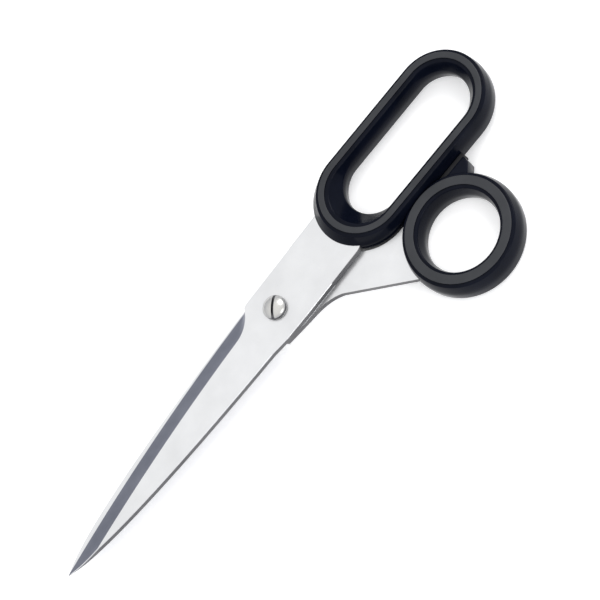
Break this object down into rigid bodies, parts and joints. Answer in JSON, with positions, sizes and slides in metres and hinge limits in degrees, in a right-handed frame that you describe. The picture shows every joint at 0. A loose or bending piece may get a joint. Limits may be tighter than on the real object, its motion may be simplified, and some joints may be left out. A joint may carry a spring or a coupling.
{
  "type": "fabric shears",
  "caption": "Long straight fabric shears with moulded black bows: an oblong finger loop, a round thumb loop and a slotted pivot screw.",
  "frame": {"origin": "middle of the bounding box's underside, which is the plane of the thumb bow's flat back", "axes": "+X towards the blade tips, +Y towards the thumb bow's side, +Z out of the screw head's face"},
  "size_m": [0.2416, 0.0838, 0.013],
  "materials": {
    "blade_steel": "satin ground stainless steel, grain across the blade, darker hollow-ground bevel",
    "bow_plastic": "glossy black moulded plastic",
    "buffer_rubber": "soft black rubber",
    "screw_steel": "turned and polished steel",
    "washer_nylon": "natural nylon"
  },
  "bodies": {
    "front_half": {"front_blade": "blade_steel", "finger_bow": "bow_plastic"},
    "back_half": {"back_blade": "blade_steel", "thumb_bow": "bow_plastic", "stop_buffer": "buffer_rubber", "pivot_screw": "screw_steel", "friction_washer": "washer_nylon", "spring_washer": "screw_steel", "pivot_nut": "screw_steel"}
  },
  "joints": [
    {"name": "pivot", "type": "hinge", "parent": "front_half", "child": "back_half", "pos_m": [-0.00386, -0.02173, 0.0067], "axis": [0, 0, -1], "range_deg": [0, 60]}
  ]
}
